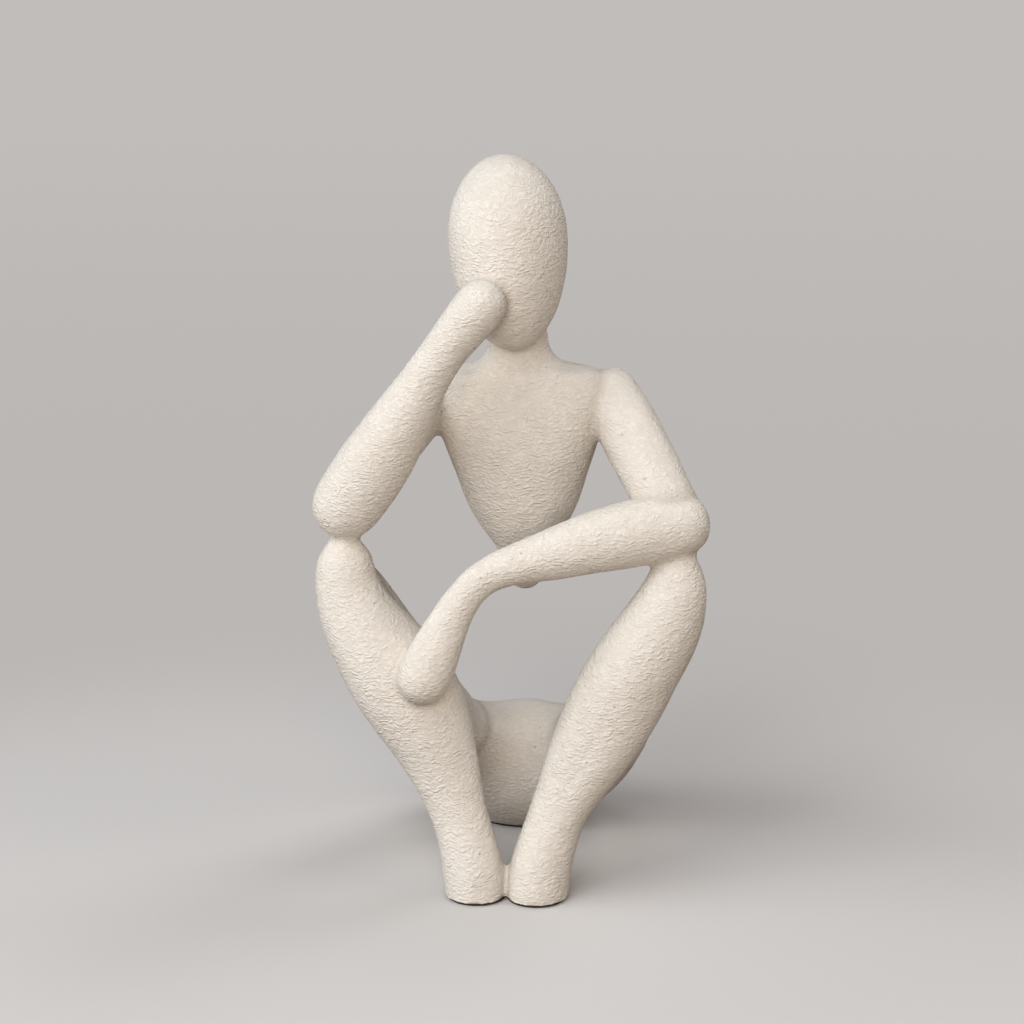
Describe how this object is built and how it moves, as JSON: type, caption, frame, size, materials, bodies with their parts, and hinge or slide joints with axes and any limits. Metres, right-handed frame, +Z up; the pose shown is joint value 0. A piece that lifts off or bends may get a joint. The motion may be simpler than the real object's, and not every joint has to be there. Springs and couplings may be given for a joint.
{
  "type": "thinker statue",
  "caption": "Seated abstract thinker figure with a faceless egg-shaped head, one hand on the cheek and the other forearm across the knees, in a sandstone-like coat, to stand on a shelf.",
  "frame": {"origin": "on the ground under the middle of the whole object's box", "axes": "+Z up, the figure faces -Y and its left side is +X"},
  "size_m": [0.1344, 0.1206, 0.2499],
  "materials": {
    "sandstone_coat": "matte sandstone-like coat with fine wavy ridges",
    "steel": "plain drawn",
    "felt": "short felt"
  },
  "bodies": {
    "root": {"head": "sandstone_coat", "torso": "sandstone_coat", "right_upper_arm": "sandstone_coat", "left_upper_arm": "sandstone_coat", "right_forearm": "sandstone_coat", "left_forearm": "sandstone_coat", "right_shin": "sandstone_coat", "left_shin": "sandstone_coat", "right_thigh": "sandstone_coat", "left_thigh": "sandstone_coat", "pelvis": "sandstone_coat", "neck_dowel": "steel", "right_shoulder_dowel": "steel", "left_shoulder_dowel": "steel", "right_elbow_dowel": "steel", "left_elbow_dowel": "steel", "right_perch_dowel": "steel", "left_perch_dowel": "steel", "right_knee_dowel": "steel", "left_knee_dowel": "steel", "right_hip_dowel": "steel", "left_hip_dowel": "steel", "right_foot_pad": "felt", "left_foot_pad": "felt", "seat_pad": "felt"}
  },
  "joints": []
}
